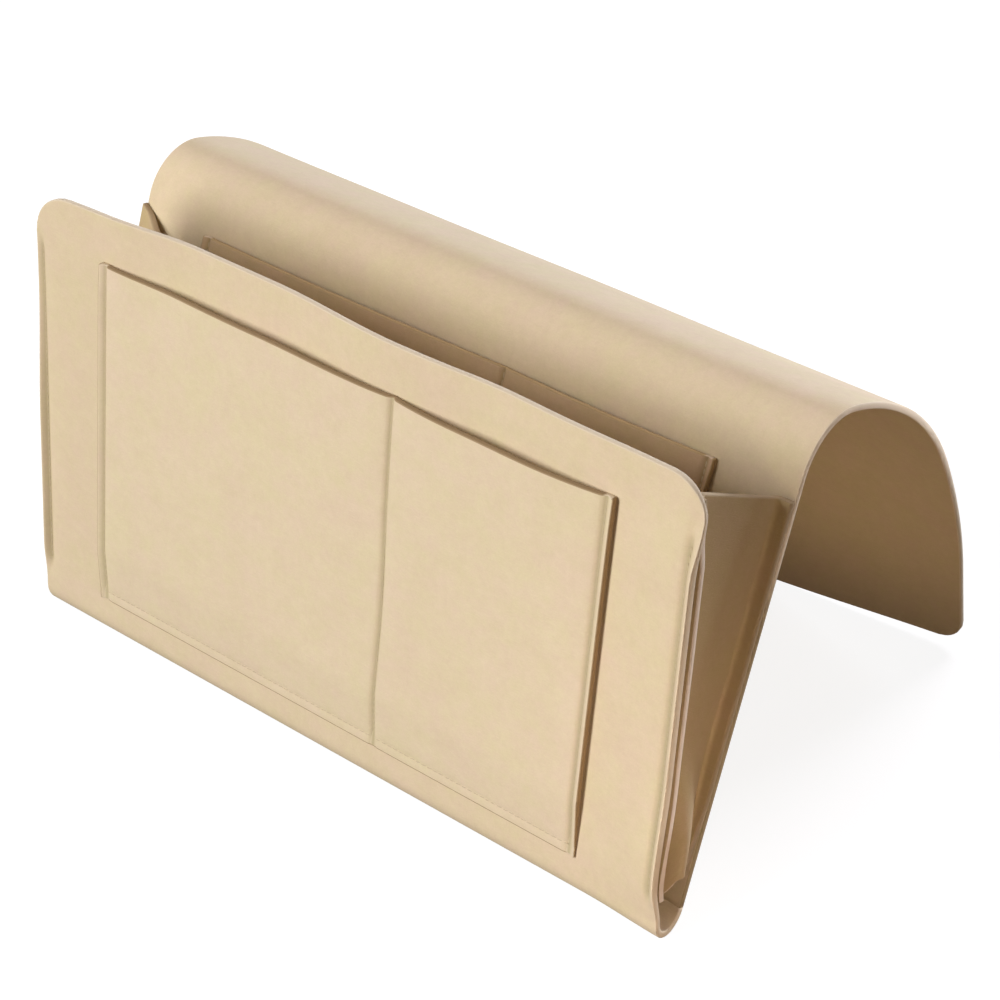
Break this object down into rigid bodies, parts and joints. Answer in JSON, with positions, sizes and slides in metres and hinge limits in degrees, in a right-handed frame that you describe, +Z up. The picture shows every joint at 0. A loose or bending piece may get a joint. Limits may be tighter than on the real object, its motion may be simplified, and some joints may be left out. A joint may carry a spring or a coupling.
{
  "type": "bedside organizer",
  "caption": "Felt caddy of one folded strip with a rolled bottom, end gussets, an outer and an inner patch pocket, and an arched flap that goes over a bed rail.",
  "frame": {"origin": "on the floor, under the middle of the width and of the depth, with the organizer standing on its rolled bottom and the edge of its flap", "axes": "+X along the organizer, to the right as its front is seen; +Y from the front wall towards the flap and the bed; +Z up"},
  "size_m": [0.36, 0.2354, 0.2146],
  "materials": {
    "sheet_felt": "matt pressed wool-like felt",
    "pocket_felt": "matt pressed wool-like felt",
    "gusset_felt": "matt pressed wool-like felt"
  },
  "bodies": {
    "back": {"bottom_fold": "sheet_felt", "back_wall": "sheet_felt", "arch": "sheet_felt", "inner_pocket": "pocket_felt", "left_gusset": "gusset_felt", "right_gusset": "gusset_felt"},
    "front": {"front_panel": "sheet_felt", "outer_pocket": "pocket_felt"},
    "flap": {"tongue": "sheet_felt"}
  },
  "joints": [
    {"name": "front_fold", "type": "hinge", "parent": "back", "child": "front", "pos_m": [0, -0.1124, 0.0124], "axis": [-1, 0, 0], "range_deg": [0, 13], "stiffness_Nm_per_rad": 0.4, "springref_deg": -5.73, "deforming": ["left_gusset", "right_gusset"]},
    {"name": "flap_flex", "type": "hinge", "parent": "back", "child": "flap", "pos_m": [0, 0.0303, 0.1772], "axis": [1, 0, 0], "range_deg": [-15, 75], "stiffness_Nm_per_rad": 0.6, "springref_deg": -5.73, "deforming": ["arch"]}
  ]
}
